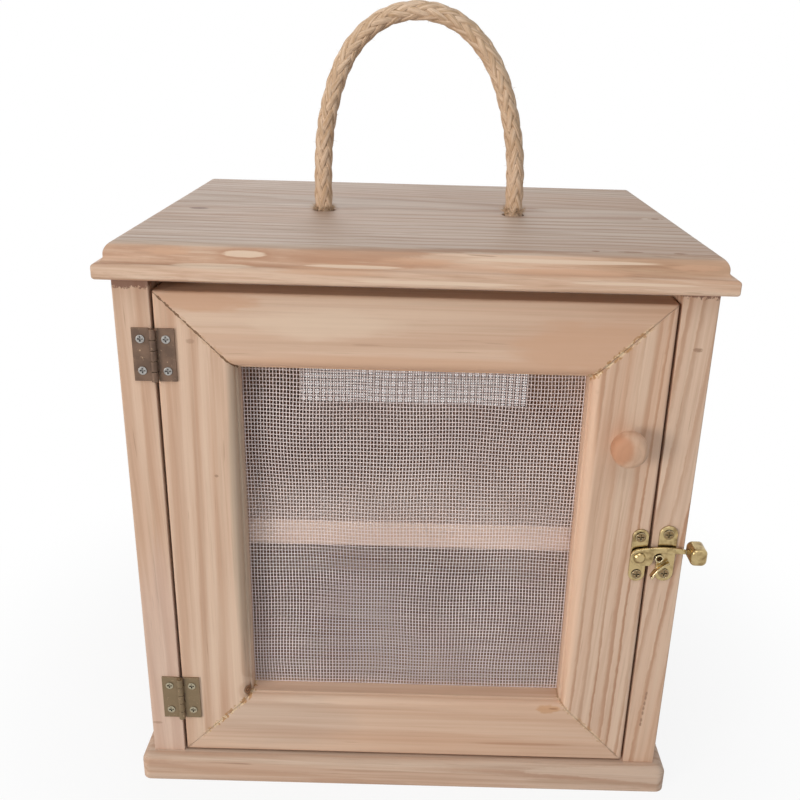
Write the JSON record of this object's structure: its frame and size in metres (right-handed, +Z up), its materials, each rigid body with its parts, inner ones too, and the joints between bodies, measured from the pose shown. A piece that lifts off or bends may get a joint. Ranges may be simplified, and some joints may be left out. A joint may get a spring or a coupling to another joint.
{
  "type": "cheese cupboard",
  "caption": "Small pine cheese cupboard with a screened back, a screened door on butt hinges, a turned knob, a brass swing latch, a shelf inside and a rope handle on top.",
  "frame": {"origin": "the middle of the base board's underside, on the surface that the cupboard stands on", "axes": "+Z up, -Y out of the door's front, +X to the viewer's right when facing the door"},
  "size_m": [0.3165, 0.2528, 0.4385],
  "materials": {
    "pine": "planed and sanded pine, bare",
    "bead_wood": "thin bare pine strip",
    "knob_wood": "turned and sanded wood",
    "screen_mesh": "plain-woven coated thread",
    "sisal_rope": "twisted natural fibre",
    "hinge_bronze": "bronzed steel, slightly worn",
    "latch_brass": "polished brass plate",
    "zinc_screws": "zinc plated steel"
  },
  "bodies": {
    "carcass": {"back_bead_bottom": "bead_wood", "back_bead_left": "bead_wood", "back_bead_right": "bead_wood", "back_bead_top": "bead_wood", "back_frame_nails": "zinc_screws", "back_rail_bottom": "pine", "back_rail_top": "pine", "back_screen": "screen_mesh", "back_stile_left": "pine", "back_stile_right": "pine", "base_board": "pine", "base_screws": "zinc_screws", "hinge_lower_pin": "hinge_bronze", "hinge_lower_side_leaf": "hinge_bronze", "hinge_screws_side": "zinc_screws", "hinge_upper_pin": "hinge_bronze", "hinge_upper_side_leaf": "hinge_bronze", "latch_keeper": "latch_brass", "latch_keeper_screws": "latch_brass", "rope_knot_left": "sisal_rope", "rope_knot_right": "sisal_rope", "shelf": "pine", "shelf_nails": "zinc_screws", "side_left": "pine", "side_right": "pine", "stop_strip": "pine", "top_board": "pine", "top_dowels": "pine"},
    "door": {"door_bead_bottom": "bead_wood", "door_bead_left": "bead_wood", "door_bead_right": "bead_wood", "door_bead_top": "bead_wood", "door_knob": "knob_wood", "door_rail_bottom": "pine", "door_rail_top": "pine", "door_screen": "screen_mesh", "door_stile_left": "pine", "door_stile_right": "pine", "hinge_lower_door_leaf": "hinge_bronze", "hinge_screws_door": "zinc_screws", "hinge_upper_door_leaf": "hinge_bronze", "knob_screw": "zinc_screws", "latch_plate": "latch_brass", "latch_plate_screws": "latch_brass", "latch_rivet": "latch_brass"},
    "latch_arm": {"latch_arm": "latch_brass"},
    "rope_handle": {"rope_handle": "sisal_rope"}
  },
  "joints": [
    {"name": "door_hinge", "type": "hinge", "parent": "carcass", "child": "door", "pos_m": [-0.1313, -0.1151, 0.158], "axis": [0, 0, -1], "range_deg": [0, 180]},
    {"name": "latch_swing", "type": "hinge", "parent": "door", "child": "latch_arm", "pos_m": [0.1255, -0.113, 0.1581], "axis": [0, -1, 0], "range_deg": [0, 110]},
    {"name": "rope_tip", "type": "hinge", "parent": "carcass", "child": "rope_handle", "pos_m": [0, -0.009, 0.324], "axis": [1, 0, 0], "range_deg": [-25, 25], "stiffness_Nm_per_rad": 0.15}
  ]
}
